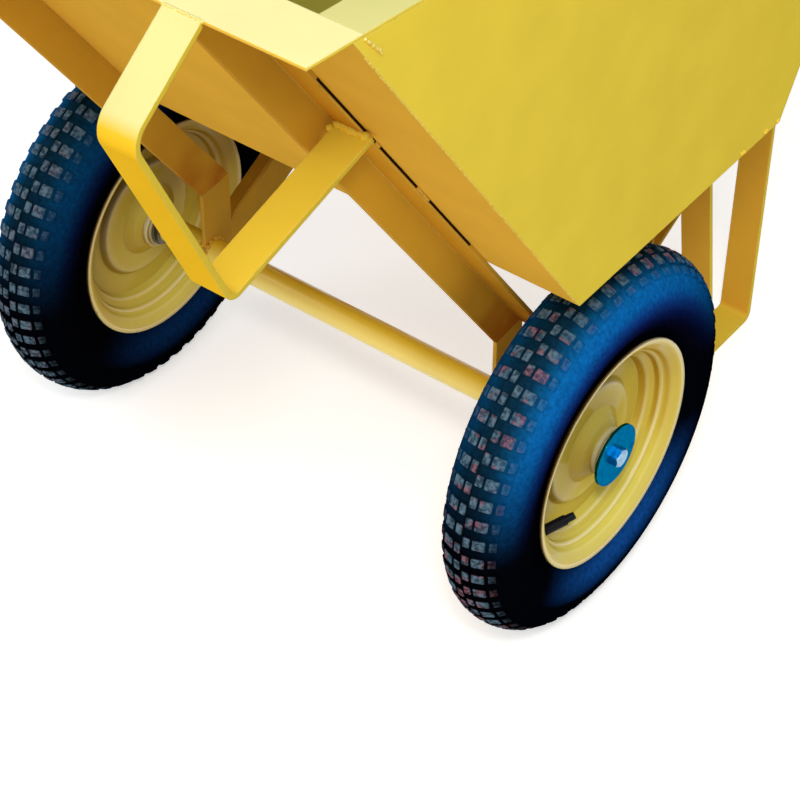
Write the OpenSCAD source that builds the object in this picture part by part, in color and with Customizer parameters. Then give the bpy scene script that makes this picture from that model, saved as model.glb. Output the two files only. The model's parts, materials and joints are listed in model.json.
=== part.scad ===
// Two-wheeled site wheelbarrow: welded sheet-steel tray on an angle-iron chassis,
// pneumatic wheels on one through axle, flat-bar tipping feet and rear legs.
// The nose points to -Y, the handles to +Y, the ground is z = 0.

/* [Wheels] */
// Diameter over the tread blocks
tyre_d = 380; // [350:1:400]
// Width of the tyre's round section
tyre_w = 79; // [74:1:82]
// Height of the section's low side above the bead seats
section_rise = 7; // [6:0.5:9]
// Thickness of the tyre's casing
tyre_wall = 6; // [4:0.5:8]
// Height of the tread blocks
tread_depth = 2.5; // [1.5:0.5:4]
// Tread blocks in one row round the tyre
tread_blocks = 48; // [40:1:54]
// Length of a tread block along the tread
block_len = 13.5; // [11:0.5:15]
// Width of a block in the two middle rows
mid_block_w = 6; // [5:0.5:7]
// Width of a block in the two main rows
main_block_w = 11.5; // [10:0.5:13]
// Width of a shoulder block
edge_block_w = 8; // [6:0.5:9]
// Width of the grooves between the rows
groove_w = 2.5; // [2:0.5:3]
// Distance between the centre planes of the two wheels
track = 537; // [525:1:580]
// Diameter over the rim's flanges
rim_d = 232; // [226:1:238]
// Width over the rim's flanges
rim_w = 70; // [66:1:72]
// Diameter of the bead seats
seat_d = 203; // [200:1:206]
// Diameter of the rim's well
well_d = 178; // [172:1:182]
// Sheet thickness of the pressed rim halves
rim_t = 2.5; // [2:0.25:3]
// Diameter of the flat ring where the two rim halves meet
disc_d = 128; // [120:1:136]
// Outside diameter of the hub tube
hub_d = 42; // [40:1:48]
// Wall of the hub tube
hub_wall = 4; // [3:0.5:5]
// Length of the hub tube
hub_len = 62; // [56:1:66]
// Length of a bearing bush inside the hub
bush_len = 16; // [12:1:20]
// Thickness of a bush's flange
bush_flange_t = 2; // [1.5:0.25:3]
// Diameter of the rubber valve stem
valve_d = 10; // [8:0.5:11]
// Height of the valve stem's tip above the axle line
valve_tip_r = 66; // [60:1:70]
// Slant of the valve stem out of the wheel's plane
valve_slant = 35; // [30:1:40]
// Place of the valve round the wheel
valve_turn = -58; // [-180:1:180]

/* [Axle] */
// Diameter of the axle bar
axle_d = 20; // [18:0.5:22]
// Outside diameter of the tube round the axle bar
axle_tube_d = 27; // [26:0.5:30]
// End play of a wheel on the axle, at each end
end_play = 0.5; // [0.3:0.1:1]
// Thickness of the collar inside each wheel
collar_t = 4; // [3:0.5:6]
// Diameter of the collar inside each wheel
collar_d = 34; // [30:1:38]
// Diameter of the washer outside each wheel
washer_d = 62; // [54:1:66]
// Thickness of the washer outside each wheel
washer_t = 3; // [2:0.5:4]
// Thread diameter of the bolt in each axle end
bolt_d = 10; // [8:0.5:12]
// Width across the flats of the bolt's head
bolt_af = 17; // [15:1:19]
// Height of the bolt's head
bolt_head_h = 6.5; // [5:0.5:8]
// Depth of the tapped hole in each axle end
bolt_len = 30; // [20:1:40]

/* [Tray] */
// Width over the side panels
tray_w = 606; // [596:1:640]
// Length of the floor
floor_len = 318; // [300:1:340]
// Height of the floor's underside above the ground
floor_z = 420; // [412:1:440]
// Distance of the floor's front edge ahead of the axle
floor_lead = 75; // [65:1:85]
// Slope of the nose panel from the level
nose_angle = 55.5; // [53:0.5:59]
// Slope of the rear panel from the level
rear_angle = 60; // [57:0.5:65]
// Height of the nose panel's top edge above the ground
rim_z = 852; // [830:1:880]
// Fall of the rim towards the handles
rim_fall = 6.7; // [5:0.1:8]
// Sheet thickness of the tray
sheet_t = 2; // [1.5:0.25:3]
// Thickness of the flat bars round the rim
rim_bar_t = 2.5; // [2:0.5:4]
// Overhang of the front lip ahead of the nose panel
lip_out = 49; // [44:1:54]
// Reach of the front and rear lips behind their panel's outer face
lip_in = 11.5; // [8:0.5:14]
// Width of the flat bars on the side panels
side_bar_w = 38; // [34:1:44]
// Overhang of the rear lip behind the rear panel
rear_lip_out = 32; // [26:1:38]

/* [Chassis] */
// Leg of the angle iron
angle_leg = 40; // [38:1:44]
// Thickness of the angle iron
angle_t = 4; // [3:0.5:5]
// Distance from the middle to the inner face of the chassis webs
web_x = 173; // [168:1:178]
// Leg of the struts' angle iron
strut_leg = 35; // [32:1:38]
// Gap between the top of a strut and the front lip
strut_drop = 3; // [2:0.5:12]
// Front edge of an axle hanger, ahead of the axle
hanger_lead = 11; // [9:0.5:12]
// Depth of a hanger below the axle line
hanger_drop = 28; // [24:1:32]
// Slope of the rear rails
rail_angle = 27; // [25:0.5:29]
// Height of a rail's top edge above the axle line at the hanger
rail_rise = 20; // [16:1:26]
// Length of a rail along its slope
rail_len = 560; // [530:1:600]
// Place of the tray posts' rear face ahead of the floor's rear edge
post_inset = 10; // [6:1:20]
// Lap of a tray post on the rail's web
post_lap = 30; // [24:1:32]
// Diameter of the tube between the rails
cross_tube_d = 27; // [22:0.5:30]
// Place of that tube along the rails
cross_tube_at = 350; // [330:1:370]

/* [Flat bars] */
// Width of the flat bar of the feet and legs
bar_w = 34; // [30:1:36]
// Thickness of the flat bar
bar_t = 5; // [4:0.5:6]
// Radius of a tipping foot's front bend, on the bar's middle line
foot_front_r = 20; // [15:1:26]
// Radius of a tipping foot's lower bend, on the bar's middle line
foot_low_r = 12; // [8:0.5:16]
// Reach of a tipping foot's front bend ahead of the lip
foot_reach = 75; // [66:1:84]
// Distance from the middle to the outer edge of a tipping foot
foot_edge = 216; // [212:1:220]
// Drop of a tipping foot's front bend below the lip
foot_dip = 55; // [50:1:62]
// Distance of the lower bend behind the front bend
foot_back = 88.5; // [80:0.5:96]
// Drop of the lower bend below the front bend
foot_drop = 194.5; // [185:0.5:205]
// Rise of a tipping foot's return arm towards the strut
foot_return = 15; // [12:0.5:18]
// Place of a rear leg's rear arm behind the axle, at the ground
leg_back = 428; // [415:1:440]
// Length of a rear leg's sole
leg_sole = 74; // [66:1:82]
// Lean of a rear leg's front arm
leg_lean = 8.5; // [6:0.5:11]
// Lean of a rear leg's rear arm
leg_rake = 1.5; // [0:0.5:3]
// Bend radius of a rear leg, on the bar's middle line
leg_bend_r = 8; // [7:0.5:12]
// Distance of a leg's inner edge inside the chassis web
leg_inset = 7; // [4:1:11]

/* [Handles] */
// Outside diameter of a handle tube
handle_d = 34; // [30:0.5:35]
// Wall of a handle tube
handle_wall = 2.5; // [2:0.25:3]
// Lap of a handle tube on its rail
handle_lap = 150; // [120:1:170]
// Straight stretch of a handle tube beyond its rail
handle_out = 140; // [110:1:180]
// Bend radius of a handle tube
handle_bend_r = 120; // [100:1:150]
// Slope of the grips
grip_angle = 8; // [4:0.5:12]
// Straight stretch of a handle tube behind its bend
handle_end = 180; // [160:1:210]
// Length of a grip
grip_len = 128; // [110:1:140]
// Wall of a grip
grip_wall = 4; // [3:0.5:5]
// Finger grooves in a grip
grip_grooves = 6; // [4:1:7]

/* [Fits] */
// Radial clearance of a bush on the axle bar
run_gap = 0.05; // [0.02:0.01:0.08]
// Clearance of pieces that are welded or pressed together
seat_gap = 0.1; // [0.05:0.01:0.2]

/* [Hidden] */
$fn = 96;

// Finishes
yellow_paint = [0.85, 0.68, 0.13];
tyre_rubber = [0.05, 0.06, 0.09];
grip_rubber = [0.09, 0.09, 0.09];
blue_zinc = [0.35, 0.53, 0.66];
bare_steel = [0.62, 0.62, 0.60];
bush_plastic = [0.82, 0.80, 0.72];

// Reach of a cutting block, longer than the barrow
far = 3000;
// A bar's bend is rounder than its straights by this, so that the two cross instead of grazing
bend_ease = 0.02;
// Thinning of a tube at a bend, and how far the bend runs into the straights
bend_thin = 0.1;
bend_bite = 0.5;
axle_z = tyre_d/2;
LEFT = -1;
RIGHT = 1;

// Tray outline, seen from the side as [y, z] with y = 0 at the axle
front_foot = [-floor_lead, floor_z];
rear_foot = [floor_len - floor_lead, floor_z];
nose_up = [-cos(nose_angle), sin(nose_angle)];
nose_down_normal = [-sin(nose_angle), -cos(nose_angle)];
rear_up = [cos(rear_angle), sin(rear_angle)];
rear_down_normal = [sin(rear_angle), -cos(rear_angle)];
floor_down_normal = [0, -1];
rim_back = [cos(rim_fall), -sin(rim_fall)];
rim_up = [sin(rim_fall), cos(rim_fall)];
nose_len = (rim_z - floor_z)/sin(nose_angle);
nose_top = front_foot + nose_len*nose_up;
rear_top = meet(rear_foot, rear_up, nose_top, rim_back);
rim_len = norm(rear_top - nose_top);
nose_fold = front_foot - inset_of(nose_down_normal, floor_down_normal, sheet_t);
rear_fold = rear_foot - inset_of(rear_down_normal, floor_down_normal, sheet_t);
nose_top_in = meet(nose_fold, nose_up, nose_top, rim_back);
rear_top_in = meet(rear_fold, rear_up, nose_top, rim_back);

// Chassis lines
flange_x = web_x + angle_leg;
hanger_back = angle_leg - hanger_lead;
rail_start = [hanger_back, axle_z + rail_rise];
strut_high = nose_top - strut_drop*rim_up;
web_low_end = meet_upright(strut_point(0, strut_leg), nose_up, -hanger_lead);
web_high_end = meet_upright(front_foot, nose_up, hanger_back);

// Tipping foot, middle line of the bar
lip_edge = nose_top - lip_out*rim_back + (rim_bar_t - bar_t/2)*rim_up;
foot_front = lip_edge + [-foot_reach, -foot_dip];
foot_low = foot_front + [foot_back, -foot_drop];
foot_end = foot_low + foot_back*5*[cos(foot_return), sin(foot_return)];
foot_path = [lip_edge + 0.2*(lip_edge - foot_front), foot_front, foot_low, foot_end];
foot_x = foot_edge - bar_w;

// Rear leg, middle line of the bar
leg_heel = [leg_back, bar_t/2];
leg_toe = leg_heel - [leg_sole, 0];
leg_path = [
  leg_toe + floor_z*[-tan(leg_lean), 1], leg_toe, leg_heel, leg_heel + floor_z*[tan(leg_rake), 1]
];

// Handle tube in its rail's own frame: y along the rail, z square to it
handle_x = web_x + angle_t + handle_d/2 + seat_gap;
handle_h = -angle_leg + angle_t + handle_d/2 + seat_gap;
handle_start = rail_len - handle_lap;
handle_bend_at = rail_len + handle_out;
handle_drop = rail_angle - grip_angle;
grip_edge_r = grip_wall;
grip_r = handle_d/2 + seat_gap + grip_wall;
grip_start = handle_end + grip_wall + seat_gap - grip_len;
grip_axis = on_rail([handle_bend_at, handle_h - handle_bend_r])
  + handle_bend_r*[-sin(grip_angle), cos(grip_angle)];
grip_end = grip_axis + (grip_start + grip_len - grip_edge_r)*[cos(grip_angle), sin(grip_angle)];

// The origin is midway between the front bends and the ends of the grips
foot_in = heading(foot_path[0], foot_front);
foot_out = heading(foot_front, foot_low);
front_y = bend_centre(foot_front, foot_in, foot_out, foot_front_r)[0] - foot_front_r - bar_t/2;
back_y = grip_end[0] + (grip_r - grip_edge_r)*sin(grip_angle) + grip_edge_r;
mid_y = (front_y + back_y)/2;

// Wheel, seen in section as [radius, distance outward from the centre plane]
section_r = tyre_w/2;
crown_r = tyre_d/2 - tread_depth;
section_h = (crown_r - seat_d/2 - section_rise)/2;
section_c = crown_r - section_h;
tread_root = 3;
mid_from = arc_angle(groove_w/2);
mid_to = mid_from + arc_angle(mid_block_w);
main_from = mid_to + arc_angle(groove_w);
main_to = main_from + arc_angle(main_block_w);
edge_from = main_to + arc_angle(groove_w);
edge_to = edge_from + arc_angle(edge_block_w);
// The casing is flat under each row and has its corners in the grooves
tread_half = [edge_to + arc_angle(groove_w), (main_to + edge_from)/2, (mid_to + main_from)/2];
tread_corners = concat(tread_half, [for (i = [2:-1:0]) -tread_half[i]]);
bead_gap = 0.3;
flange_in = rim_w/2 - 2*rim_t;
bead_r = seat_d/2 + bead_gap;
bead_out = flange_in - rim_t/2 - bead_gap;
bead_in = bead_out - 1.5*tyre_wall;
tube_lift = -tyre_wall - bead_gap;
hub_r = hub_d/2;
bush_r = hub_r - hub_wall;
hub_half = hub_len/2 + bush_flange_t;
rim_seat_r = seat_d/2 - rim_t/2;
well_r = well_d/2;
rim_path = [
  [rim_d/2 - rim_t/4, rim_w/2 - rim_t/2],
  [rim_d/2 - 2*rim_t, flange_in + rim_t/2],
  [rim_seat_r + rim_t, flange_in],
  [rim_seat_r, flange_in - 2*rim_t],
  [rim_seat_r - rim_t/2, flange_in/2 + rim_t],
  [well_r, flange_in/2 - 2*rim_t],
  [well_r - rim_t, rim_t/2],
  [disc_d/2, rim_t/2],
  [disc_d/2 - 2*rim_t, 3*rim_t],
  [hub_r + 7*rim_t, 3.5*rim_t],
  [hub_r + 3*rim_t, 7*rim_t],
  [hub_r + rim_t/2 + seat_gap, 9*rim_t],
  [hub_r + rim_t/2 + seat_gap, hub_len/2 - rim_t]
];
valve_tip_z = hub_half - bush_flange_t;
valve_len = (section_c - section_h - tube_lift - valve_tip_r)/cos(valve_slant) - valve_d/2;
cap_len = 0.9*valve_d;

// Axle stations, measured outward from the middle
wheel_x = track/2;
axle_half = wheel_x + hub_half + end_play;
collar_from = wheel_x - hub_half - end_play - collar_t;

// Crossing of two lines given as point and direction
function meet(p, u, q, v) = p + u*((q - p)*[v[1], -v[0]])/(u*[v[1], -v[0]]);
// Point of a line at a given y
function meet_upright(p, u, y) = p + u*(y - p[0])/u[0];
// Inward shift of a folded corner whose two sheets face out along m and n
function inset_of(m, n, t) = t*(m + n)/(1 + m*n);
// Point beside the nose panel: along it from the floor, then out from its underside
function strut_point(along, out) = front_foot + along*nose_up + out*nose_down_normal;
// Upper end of a strut, cut along the lip
function strut_head(out) = meet(strut_point(0, out), nose_up, strut_high, rim_back);
// Point given in a rail's own frame
function on_rail(p) = rail_start + p[0]*[cos(rail_angle), sin(rail_angle)]
  + p[1]*[-sin(rail_angle), cos(rail_angle)];
// Angle that a bend runs on inside the straight stretches
function bite_angle(r) = bend_bite/r*180/PI;
function heading(a, b) = (b - a)/norm(b - a);
function turn_of(u, v) = atan2(u[0]*v[1] - u[1]*v[0], u*v);
function bend_cut(u, v, r) = r*tan(abs(turn_of(u, v))/2);
function bend_centre(p, u, v, r) = p - bend_cut(u, v, r)*u + r*sign(turn_of(u, v))*[-u[1], u[0]];
// Angle at the tyre section's centre that spans a width on the casing
function arc_angle(w) = w/section_r*180/PI;
// Point at an angle of the section, lifted off the casing
function on_section(a, lift) = [section_c + (section_h + lift)*cos(a), (section_r + lift)*sin(a)];
// Sheet of one thickness along a path of points, with mitred corners
function left_of(u) = [-u[1], u[0]];
function side_shift(path, i) =
  let (n = len(path) - 1,
       a = left_of(heading(path[max(i - 1, 0)], path[max(i, 1)])),
       b = left_of(heading(path[min(i, n - 1)], path[min(i + 1, n)])))
  (a + b)/(1 + a*b);
function sheet(path, t) = concat(
  [for (i = [0:len(path) - 1]) path[i] + t/2*side_shift(path, i)],
  [for (i = [len(path) - 1:-1:0]) path[i] - t/2*side_shift(path, i)]);

// Bend of a path: its centre, its start, the path's corner and its end
function bend_at(path, radii, i) =
  let (u = heading(path[i - 1], path[i]),
       v = heading(path[i], path[i + 1]),
       cut = bend_cut(u, v, radii[i - 1]))
  [bend_centre(path[i], u, v, radii[i - 1]), path[i] - cut*u, path[i], path[i] + cut*v];
// Outline of a bar before its bends are rounded: it has corners outside and runs through the centres
function bar_outline(path, radii, t) = let (n = len(path) - 1) concat(
  [path[0] + t/2*side_shift(path, 0)],
  [for (i = [1:n - 1]) let (bend = bend_at(path, radii, i), k = 1 - t/2/radii[i - 1])
    each [bend[0] + k*(bend[1] - bend[0]), bend[0], bend[0] + k*(bend[3] - bend[0])]],
  [path[n] + t/2*side_shift(path, n)],
  [for (i = [n:-1:0]) path[i] - t/2*side_shift(path, i)]);

// Places a piece drawn from the axle into the barrow's frame
module from_axle() translate([0, -mid_y, 0]) children();
module on_side(side) mirror([side == LEFT ? 1 : 0, 0, 0]) children();
// Draws [y, z] outlines and gives them a width along X
module across(width) rotate([90, 0, 90]) linear_extrude(width) children();
module in_rail() translate([0, rail_start[0], rail_start[1]]) rotate([rail_angle, 0, 0]) children();
module in_rim() translate([0, nose_top[0], nose_top[1]]) rotate([-rim_fall, 0, 0]) children();
module wheel_at(side) translate([0, 0, axle_z]) on_side(side) translate([wheel_x, 0, 0])
  rotate([0, 90, 0]) children();
module axle_at(side) translate([0, 0, axle_z]) on_side(side) rotate([0, 90, 0]) children();
module ring(outer_r, inner_r, h) difference() {
  cylinder(h = h, r = outer_r);
  translate([0, 0, -h]) cylinder(h = 3*h, r = inner_r);
}

// Flat bar bent to the left along a path of [y, z] corners, with one radius for each bend
module bent_bar(path, radii, t, w) across(w) difference() {
  polygon(bar_outline(path, radii, t));
  for (i = [1:len(radii)]) {
    bend = bend_at(path, radii, i);
    translate(bend[0]) circle(radii[i - 1] - t/2 + bend_ease);
    difference() {
      polygon([for (p = bend) 2*p - bend[0]]);
      translate(bend[0]) circle(radii[i - 1] + t/2 + bend_ease);
    }
  }
}

// Tray
module panel_between(a, b, b_in, a_in) translate([sheet_t - tray_w/2, 0, 0])
  across(tray_w - 2*sheet_t) polygon([a, b, b_in, a_in]);
module nose_panel() color(yellow_paint) from_axle()
  panel_between(front_foot, nose_top, nose_top_in, nose_fold);
module floor_panel() color(yellow_paint) from_axle()
  panel_between(front_foot, rear_foot, rear_fold, nose_fold);
module rear_panel() color(yellow_paint) from_axle()
  panel_between(rear_foot, rear_top, rear_top_in, rear_fold);
module side_panel(side) color(yellow_paint) from_axle() on_side(side)
  translate([tray_w/2 - sheet_t, 0, 0]) across(sheet_t)
    polygon([front_foot, rear_foot, rear_top, nose_top]);
module front_lip() color(yellow_paint) from_axle() in_rim()
  translate([-tray_w/2, -lip_out, 0]) cube([tray_w, lip_out + lip_in, rim_bar_t]);
module rear_lip() color(yellow_paint) from_axle() in_rim()
  translate([-tray_w/2, rim_len - lip_in, 0]) cube([tray_w, lip_in + rear_lip_out, rim_bar_t]);
module rim_bar(side) color(yellow_paint) from_axle() on_side(side) in_rim()
  translate([tray_w/2 - side_bar_w, lip_in, 0]) cube([side_bar_w, rim_len - 2*lip_in, rim_bar_t]);

// Chassis
module front_strut(side) color(yellow_paint) from_axle() on_side(side) translate([web_x, 0, 0]) {
  across(angle_t) polygon([strut_head(0), strut_head(strut_leg), web_low_end, web_high_end]);
  intersection() {
    across(strut_leg) polygon([
      strut_head(0), strut_head(angle_t), strut_point(-far, angle_t), strut_point(-far, 0)
    ]);
    across(strut_leg) polygon([strut_head(0), strut_head(strut_leg), web_low_end, web_high_end]);
  }
}
module axle_hanger(side) color(yellow_paint) from_axle() on_side(side) difference() {
  translate([web_x, 0, 0]) across(angle_t) polygon([
    web_low_end, web_high_end, [hanger_back, axle_z - hanger_drop], [-hanger_lead, axle_z - hanger_drop]
  ]);
  axle_at(RIGHT) cylinder(h = far, r = axle_tube_d/2 + seat_gap);
}
module rear_rail(side) color(yellow_paint) from_axle() on_side(side) difference() {
  in_rail() {
    translate([web_x, -angle_leg, -angle_leg]) cube([angle_t, rail_len + angle_leg, angle_leg]);
    translate([web_x, -angle_leg, -angle_leg]) cube([angle_leg, rail_len + angle_leg, angle_t]);
  }
  translate([0, hanger_back - far, 0]) cube(far);
}
module tray_post(side) color(yellow_paint) from_axle() on_side(side) {
  post_back = rear_foot[0] - post_inset - angle_t;
  difference() {
    translate([web_x + angle_t, post_back - angle_leg, axle_z]) union() {
      cube([angle_t, angle_leg, floor_z - angle_t - axle_z]);
      cube([angle_leg - angle_t, angle_t, floor_z - angle_t - axle_z]);
    }
    in_rail() translate([0, -far/2, -post_lap - far]) cube(far);
  }
}
module floor_cross_bar() color(yellow_paint) from_axle() {
  bar_back = rear_foot[0] - post_inset;
  translate([-flange_x, bar_back - angle_leg, floor_z - angle_t])
    cube([2*flange_x, angle_leg, angle_t]);
  translate([-flange_x, bar_back - angle_t, floor_z - angle_leg])
    cube([2*flange_x, angle_t, angle_leg]);
}
module rail_cross_tube() color(yellow_paint) from_axle() in_rail()
  translate([seat_gap - web_x, cross_tube_at, -angle_leg/2]) rotate([0, 90, 0])
    ring(cross_tube_d/2, cross_tube_d/2 - handle_wall, 2*web_x - 2*seat_gap);

// Flat-bar feet and legs
module tipping_foot(side) color(yellow_paint) from_axle() on_side(side) difference() {
  translate([foot_x, 0, 0]) bent_bar(foot_path, [foot_front_r, foot_low_r], bar_t, bar_w);
  translate([0, front_foot[0], front_foot[1]]) rotate([90 - nose_angle, 0, 0])
    translate([0, -angle_t, -far]) cube(2*far);
  in_rim() translate([0, -lip_out, -foot_dip]) cube(far);
}
module rear_leg(side) color(yellow_paint) from_axle() on_side(side) difference() {
  translate([web_x - leg_inset, 0, 0]) bent_bar(leg_path, [leg_bend_r, leg_bend_r], bar_t, bar_w);
  in_rail() translate([0, -far, -angle_leg]) cube(2*far);
}

// Handles
module handle_tube(side) color(yellow_paint) from_axle() on_side(side) in_rail() difference() {
  handle_rod(handle_d/2, 0);
  handle_rod(handle_d/2 - handle_wall, 1);
}
// Solid rod along a handle's middle line, longer by extra at both ends
module handle_rod(r, extra) translate([handle_x, 0, handle_h]) {
  translate([0, handle_start - extra, 0]) rotate([-90, 0, 0])
    cylinder(h = handle_bend_at - handle_start + extra, r = r);
  translate([0, handle_bend_at, -handle_bend_r]) {
    rotate([90, 0, 90]) rotate(90 - handle_drop - bite_angle(handle_bend_r))
      rotate_extrude(angle = handle_drop + 2*bite_angle(handle_bend_r))
        translate([handle_bend_r, 0]) circle(r - bend_thin);
    rotate([-handle_drop, 0, 0]) translate([0, 0, handle_bend_r]) rotate([-90, 0, 0])
      cylinder(h = handle_end + extra, r = r);
  }
}
module grip(side) color(grip_rubber) from_axle() on_side(side) in_rail()
  translate([handle_x, handle_bend_at, handle_h - handle_bend_r]) rotate([-handle_drop, 0, 0])
    translate([0, grip_start, handle_bend_r]) rotate([-90, 0, 0]) grip_sleeve();
module grip_sleeve() {
  groove_pitch = (grip_len - 4*grip_wall)/grip_grooves;
  groove_r = groove_pitch;
  groove_depth = grip_wall/3;
  rotate_extrude() difference() {
    union() {
      square([grip_r, grip_len - grip_edge_r]);
      square([grip_r - grip_edge_r, grip_len]);
      translate([grip_r - grip_edge_r, grip_len - grip_edge_r]) circle(grip_edge_r);
      translate([0, 0]) square([grip_r + grip_wall/2, grip_wall]);
    }
    translate([-1, -1]) square([handle_d/2 + seat_gap + 1, grip_len - grip_wall + 1]);
    translate([-far, 0]) square([far, 2*grip_len]);
    for (i = [0:grip_grooves - 1])
      translate([grip_r + groove_r - groove_depth, 2*grip_wall + (i + 0.5)*groove_pitch])
        circle(groove_r);
  }
}

// Axle
module axle_tube() color(yellow_paint) from_axle() translate([-collar_from, 0, axle_z])
  rotate([0, 90, 0]) ring(axle_tube_d/2, axle_d/2 + seat_gap, 2*collar_from);
module axle_bar() color(bare_steel) from_axle() difference() {
  translate([-axle_half, 0, axle_z]) rotate([0, 90, 0]) cylinder(h = 2*axle_half, r = axle_d/2);
  for (side = [LEFT, RIGHT]) axle_at(side) translate([0, 0, axle_half - bolt_len])
    cylinder(h = 2*bolt_len, r = bolt_d/2);
}
module axle_collar(side) color(bare_steel) from_axle() axle_at(side)
  translate([0, 0, collar_from]) ring(collar_d/2, axle_d/2 + seat_gap, collar_t);
module hub_washer(side) color(blue_zinc) from_axle() axle_at(side)
  translate([0, 0, axle_half]) ring(washer_d/2, bolt_d/2 + seat_gap, washer_t);
module axle_bolt(side) color(blue_zinc) from_axle() axle_at(side) {
  translate([0, 0, axle_half + washer_t]) intersection() {
    cylinder(h = bolt_head_h, r = bolt_af/sqrt(3), $fn = 6);
    cylinder(h = bolt_head_h, r1 = bolt_af/2 + bolt_head_h, r2 = bolt_af/2);
  }
  translate([0, 0, axle_half - bolt_len + 2*seat_gap])
    cylinder(h = bolt_len + washer_t - 2*seat_gap, r = bolt_d/2 - seat_gap);
}

// Wheels
module tyre(side) color(tyre_rubber) from_axle() wheel_at(side) {
  tyre_casing();
  tread_rows(mid_from, mid_to, tread_depth);
  tread_rows(main_from, main_to, tread_depth);
  tread_rows(edge_from, edge_to, tread_depth/2);
}
module tyre_casing() rotate_extrude() difference() {
  union() {
    polygon([
      for (a = tread_corners) on_section(a, 0),
      [section_c, 0]
    ]);
    difference() {
      section_round(0);
      translate([section_c + section_h*cos(tread_corners[0]), -section_r]) square(2*section_r);
    }
    for (out = [0, 1]) mirror([0, out]) polygon([
      [bead_r, bead_in], [bead_r, flange_in - 2.5*rim_t], [bead_r + rim_t + bead_gap, bead_out],
      [section_c - 0.6*section_h, bead_out], [section_c - 0.6*section_h, bead_in]
    ]);
  }
  section_round(-tyre_wall);
  translate([0, -bead_in]) square([section_c, 2*bead_in]);
}
// Round of the section, lifted off the casing, as wide as the tyre and as high as its seat allows
module section_round(lift) translate([section_c, 0])
  scale([(section_h + lift)/(section_r + lift), 1]) circle(section_r + lift);
// One row of blocks on each side of the tyre's centre plane, half a pitch apart
module tread_rows(from, to, depth) {
  span = block_len/crown_r*180/PI;
  for (out = [0, 1], i = [0:tread_blocks - 1]) rotate((i + out/2)*360/tread_blocks - span/2)
    rotate_extrude(angle = span) mirror([0, out]) polygon([
      on_section(from, -tread_root), on_section(to, -tread_root),
      on_section(to, depth), on_section(from, depth)
    ]);
}
module inner_tube(side) color(tyre_rubber) from_axle() wheel_at(side)
  rotate_extrude() difference() {
    section_round(tube_lift);
    section_round(tube_lift - rim_t);
  }
module valve_axis() rotate(valve_turn) translate([valve_tip_r, 0, valve_tip_z])
  rotate([0, 90 + valve_slant, 0]) children();
module rim_outer(side) color(yellow_paint) from_axle() wheel_at(side) difference() {
  rotate_extrude() polygon(sheet(rim_path, rim_t));
  valve_axis() cylinder(h = valve_len, r = valve_d/2 + seat_gap);
}
module rim_inner(side) color(yellow_paint) from_axle() wheel_at(side)
  mirror([0, 0, 1]) rotate_extrude() polygon(sheet(rim_path, rim_t));
module hub(side) color(yellow_paint) from_axle() wheel_at(side)
  translate([0, 0, -hub_len/2]) ring(hub_r, bush_r, hub_len);
module hub_bushes(side) color(bush_plastic) from_axle() wheel_at(side)
  for (end = [0, 1]) mirror([0, 0, end]) translate([0, 0, hub_len/2 - bush_len]) difference() {
    union() {
      cylinder(h = bush_len, r = bush_r - seat_gap);
      translate([0, 0, bush_len]) cylinder(h = bush_flange_t, r = hub_r - hub_wall/2);
    }
    translate([0, 0, -1]) cylinder(h = 2*bush_len, r = axle_d/2 + run_gap);
  }
module valve_stem(side) color(grip_rubber) from_axle() wheel_at(side) valve_axis() {
  translate([0, 0, cap_len]) cylinder(h = valve_len - cap_len, r = valve_d/2);
}
module valve_cap(side) color(grip_rubber) from_axle() wheel_at(side) valve_axis()
  cylinder(h = cap_len, r1 = 0.35*valve_d, r2 = 0.4*valve_d);

nose_panel();
floor_panel();
rear_panel();
side_panel(LEFT);  // left_side_panel
side_panel(RIGHT);  // right_side_panel
front_lip();
rear_lip();
rim_bar(LEFT);  // left_rim_bar
rim_bar(RIGHT);  // right_rim_bar
front_strut(LEFT);  // left_front_strut
front_strut(RIGHT);  // right_front_strut
axle_hanger(LEFT);  // left_axle_hanger
axle_hanger(RIGHT);  // right_axle_hanger
rear_rail(LEFT);  // left_rear_rail
rear_rail(RIGHT);  // right_rear_rail
tray_post(LEFT);  // left_tray_post
tray_post(RIGHT);  // right_tray_post
floor_cross_bar();
rail_cross_tube();
tipping_foot(LEFT);  // left_tipping_foot
tipping_foot(RIGHT);  // right_tipping_foot
rear_leg(LEFT);  // left_rear_leg
rear_leg(RIGHT);  // right_rear_leg
handle_tube(LEFT);  // left_handle_tube
handle_tube(RIGHT);  // right_handle_tube
grip(LEFT);  // left_grip
grip(RIGHT);  // right_grip
axle_tube();
axle_bar();
axle_collar(LEFT);  // left_axle_collar
axle_collar(RIGHT);  // right_axle_collar
hub_washer(LEFT);  // left_hub_washer
hub_washer(RIGHT);  // right_hub_washer
axle_bolt(LEFT);  // left_axle_bolt
axle_bolt(RIGHT);  // right_axle_bolt
tyre(LEFT);  // left_tyre
tyre(RIGHT);  // right_tyre
inner_tube(LEFT);  // left_inner_tube
inner_tube(RIGHT);  // right_inner_tube
rim_outer(LEFT);  // left_rim_outer
rim_outer(RIGHT);  // right_rim_outer
rim_inner(LEFT);  // left_rim_inner
rim_inner(RIGHT);  // right_rim_inner
hub(LEFT);  // left_hub
hub(RIGHT);  // right_hub
hub_bushes(LEFT);  // left_hub_bushes
hub_bushes(RIGHT);  // right_hub_bushes
valve_stem(LEFT);  // left_valve_stem
valve_stem(RIGHT);  // right_valve_stem
valve_cap(LEFT);  // left_valve_cap
valve_cap(RIGHT);  // right_valve_cap
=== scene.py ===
# %% [markdown]
# # A two-wheeled site wheelbarrow
# The solids come from the CAD step and already have the right sizes. This lesson gives them their
# finishes, swaps the wheels for pieces with softer shapes, and adds the welds. Every piece is made
# at the world's origin with its place in its mesh, so that patterns on Object coordinates stay put.

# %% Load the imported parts
import json
from math import cos, pi, radians, sin
from random import Random

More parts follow.
